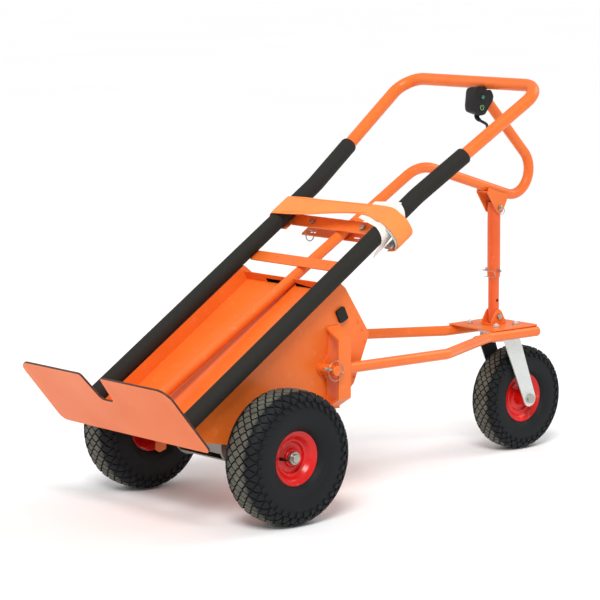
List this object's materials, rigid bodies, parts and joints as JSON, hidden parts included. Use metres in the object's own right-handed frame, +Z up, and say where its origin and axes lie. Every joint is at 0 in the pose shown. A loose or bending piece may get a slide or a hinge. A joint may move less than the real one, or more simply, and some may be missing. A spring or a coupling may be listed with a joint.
{
  "type": "powered hand truck",
  "caption": "Three-wheeled powered hand truck with a bent tube handle, a folding rear castor leg and a notched toe plate.",
  "frame": {"origin": "on the floor, under the middle of the whole truck", "axes": "+Z up, +Y from the toe plate towards the castor, +X along the wheel axle"},
  "size_m": [0.606, 1.4572, 0.9356],
  "materials": {
    "orange": "glossy orange powder coat",
    "red": "glossy red enamel",
    "tyre": "matt black rubber",
    "sleeve": "matt dark foam grip",
    "plastic": "matt black plastic",
    "button": "matt green rubber key",
    "zinc": "zinc plated steel",
    "steel": "plain steel",
    "webbing": "woven orange webbing",
    "lining": "white felt lining",
    "cable": "black cable sheath"
  },
  "bodies": {
    "truck_frame": {"handle_tube": "orange", "left_sleeve": "sleeve", "right_sleeve": "sleeve", "spine_tube": "orange", "toe_plate": "orange", "lower_cross_bar": "orange", "upper_cross_bar": "orange", "strap_plate": "orange", "left_bracket_bolt": "zinc", "right_bracket_bolt": "zinc", "left_side_panel": "orange", "right_side_panel": "orange", "housing_wrap": "orange", "front_panel": "orange", "drive_motor": "steel", "axle_beam": "steel", "axle_shaft": "steel", "axle_tab": "orange", "left_pivot_stud": "orange", "right_pivot_stud": "orange", "loop_clevis": "orange", "control_body": "plastic", "control_face": "plastic", "control_cable": "cable", "charge_socket": "plastic", "strap_band": "webbing", "strap_lining": "lining", "strap_buckle": "zinc", "strap_ring": "zinc"},
    "left_wheel": {"left_tyre": "tyre", "left_rim": "red", "left_valve": "plastic"},
    "right_wheel": {"right_tyre": "tyre", "right_rim": "red", "right_valve": "plastic"},
    "rear_support": {"left_arm": "orange", "right_arm": "orange", "left_arm_bracket": "orange", "right_arm_bracket": "orange", "castor_plate": "orange", "base_clevis": "orange", "base_bolt": "zinc", "castor_head": "zinc"},
    "prop_foot": {"prop_lower": "orange"},
    "prop_head": {"prop_upper": "orange"},
    "castor_swivel": {"castor_fork": "zinc", "castor_axle": "zinc"},
    "castor_wheel": {"castor_tyre": "tyre", "castor_rim": "red"},
    "left_cross_pin": {"left_linch_pin": "zinc"},
    "left_pin_ring": {"left_linch_ring": "zinc"},
    "right_cross_pin": {"right_linch_pin": "zinc"},
    "right_pin_ring": {"right_linch_ring": "zinc"},
    "head_pin": {"top_pin": "zinc"},
    "head_pin_ring": {"pull_ring": "zinc"},
    "prop_pin": {"lock_pin": "zinc"},
    "prop_pin_bow": {"lock_bow": "zinc"},
    "power_key": {"power_button": "button"},
    "speed_key": {"speed_button": "button"},
    "charge_cover": {"charge_flap": "plastic"}
  },
  "joints": [
    {"name": "left_wheel_spin", "type": "hinge", "parent": "truck_frame", "child": "left_wheel", "pos_m": [0.254, -0.3844, 0.15], "axis": [1, 0, 0], "continuous": true},
    {"name": "right_wheel_spin", "type": "hinge", "parent": "truck_frame", "child": "right_wheel", "pos_m": [-0.254, -0.3844, 0.15], "axis": [1, 0, 0], "continuous": true},
    {"name": "support_fold", "type": "hinge", "parent": "truck_frame", "child": "rear_support", "pos_m": [0, -0.2014, 0.312], "axis": [1, 0, 0], "range_deg": [-7, 0]},
    {"name": "prop_foot_pivot", "type": "hinge", "parent": "rear_support", "child": "prop_foot", "pos_m": [0, 0.5146, 0.341], "axis": [1, 0, 0], "range_deg": [0, 7]},
    {"name": "prop_extend", "type": "slide", "parent": "prop_foot", "child": "prop_head", "axis": [0, -0.0093, 1], "range_m": [0, 0.0875]},
    {"name": "castor_turn", "type": "hinge", "parent": "rear_support", "child": "castor_swivel", "pos_m": [0, 0.5116, 0.3], "axis": [0, 0, 1], "continuous": true},
    {"name": "castor_spin", "type": "hinge", "parent": "castor_swivel", "child": "castor_wheel", "pos_m": [0, 0.5986, 0.13], "axis": [1, 0, 0], "continuous": true},
    {"name": "left_cross_pin_pull", "type": "slide", "parent": "truck_frame", "child": "left_cross_pin", "axis": [0, 0.9648, -0.263], "range_m": [0, 0.012]},
    {"name": "left_pin_ring_swing", "type": "hinge", "parent": "left_cross_pin", "child": "left_pin_ring", "pos_m": [0.2083, -0.18307, 0.307], "axis": [0, 0.263, 0.9648], "range_deg": [0, 150]},
    {"name": "right_cross_pin_pull", "type": "slide", "parent": "truck_frame", "child": "right_cross_pin", "axis": [0, 0.9648, -0.263], "range_m": [0, 0.012]},
    {"name": "right_pin_ring_swing", "type": "hinge", "parent": "right_cross_pin", "child": "right_pin_ring", "pos_m": [-0.2083, -0.18307, 0.307], "axis": [0, 0.263, 0.9648], "range_deg": [-150, 0]},
    {"name": "head_pin_pull", "type": "slide", "parent": "truck_frame", "child": "head_pin", "axis": [1, 0, 0], "range_m": [0, 0.045]},
    {"name": "head_pin_ring_turn", "type": "hinge", "parent": "head_pin", "child": "head_pin_ring", "pos_m": [0.0275, 0.5121, 0.611], "axis": [1, 0, 0], "continuous": true},
    {"name": "prop_pin_pull", "type": "slide", "parent": "prop_head", "child": "prop_pin", "axis": [-1, 0, 0], "range_m": [0, 0.045]},
    {"name": "prop_pin_bow_swing", "type": "hinge", "parent": "prop_pin", "child": "prop_pin_bow", "pos_m": [-0.0225, 0.50674, 0.455], "axis": [0, 0, 1], "range_deg": [-90, 0]},
    {"name": "power_key_press", "type": "slide", "parent": "truck_frame", "child": "power_key", "axis": [-1, 0, 0], "range_m": [0, 0.0012], "stiffness_N_per_m": 600},
    {"name": "speed_key_press", "type": "slide", "parent": "truck_frame", "child": "speed_key", "axis": [-1, 0, 0], "range_m": [0, 0.0012], "stiffness_N_per_m": 600},
    {"name": "charge_cover_lift", "type": "hinge", "parent": "truck_frame", "child": "charge_cover", "pos_m": [0.1646, -0.13172, 0.4332], "axis": [0, -0.4384, 0.8988], "range_deg": [0, 110]}
  ],
  "couplings": [
    {"joint": "prop_foot_pivot", "follows": "support_fold", "ratio": -0.97},
    {"joint": "prop_extend", "follows": "support_fold", "m_per_rad": -0.716}
  ]
}
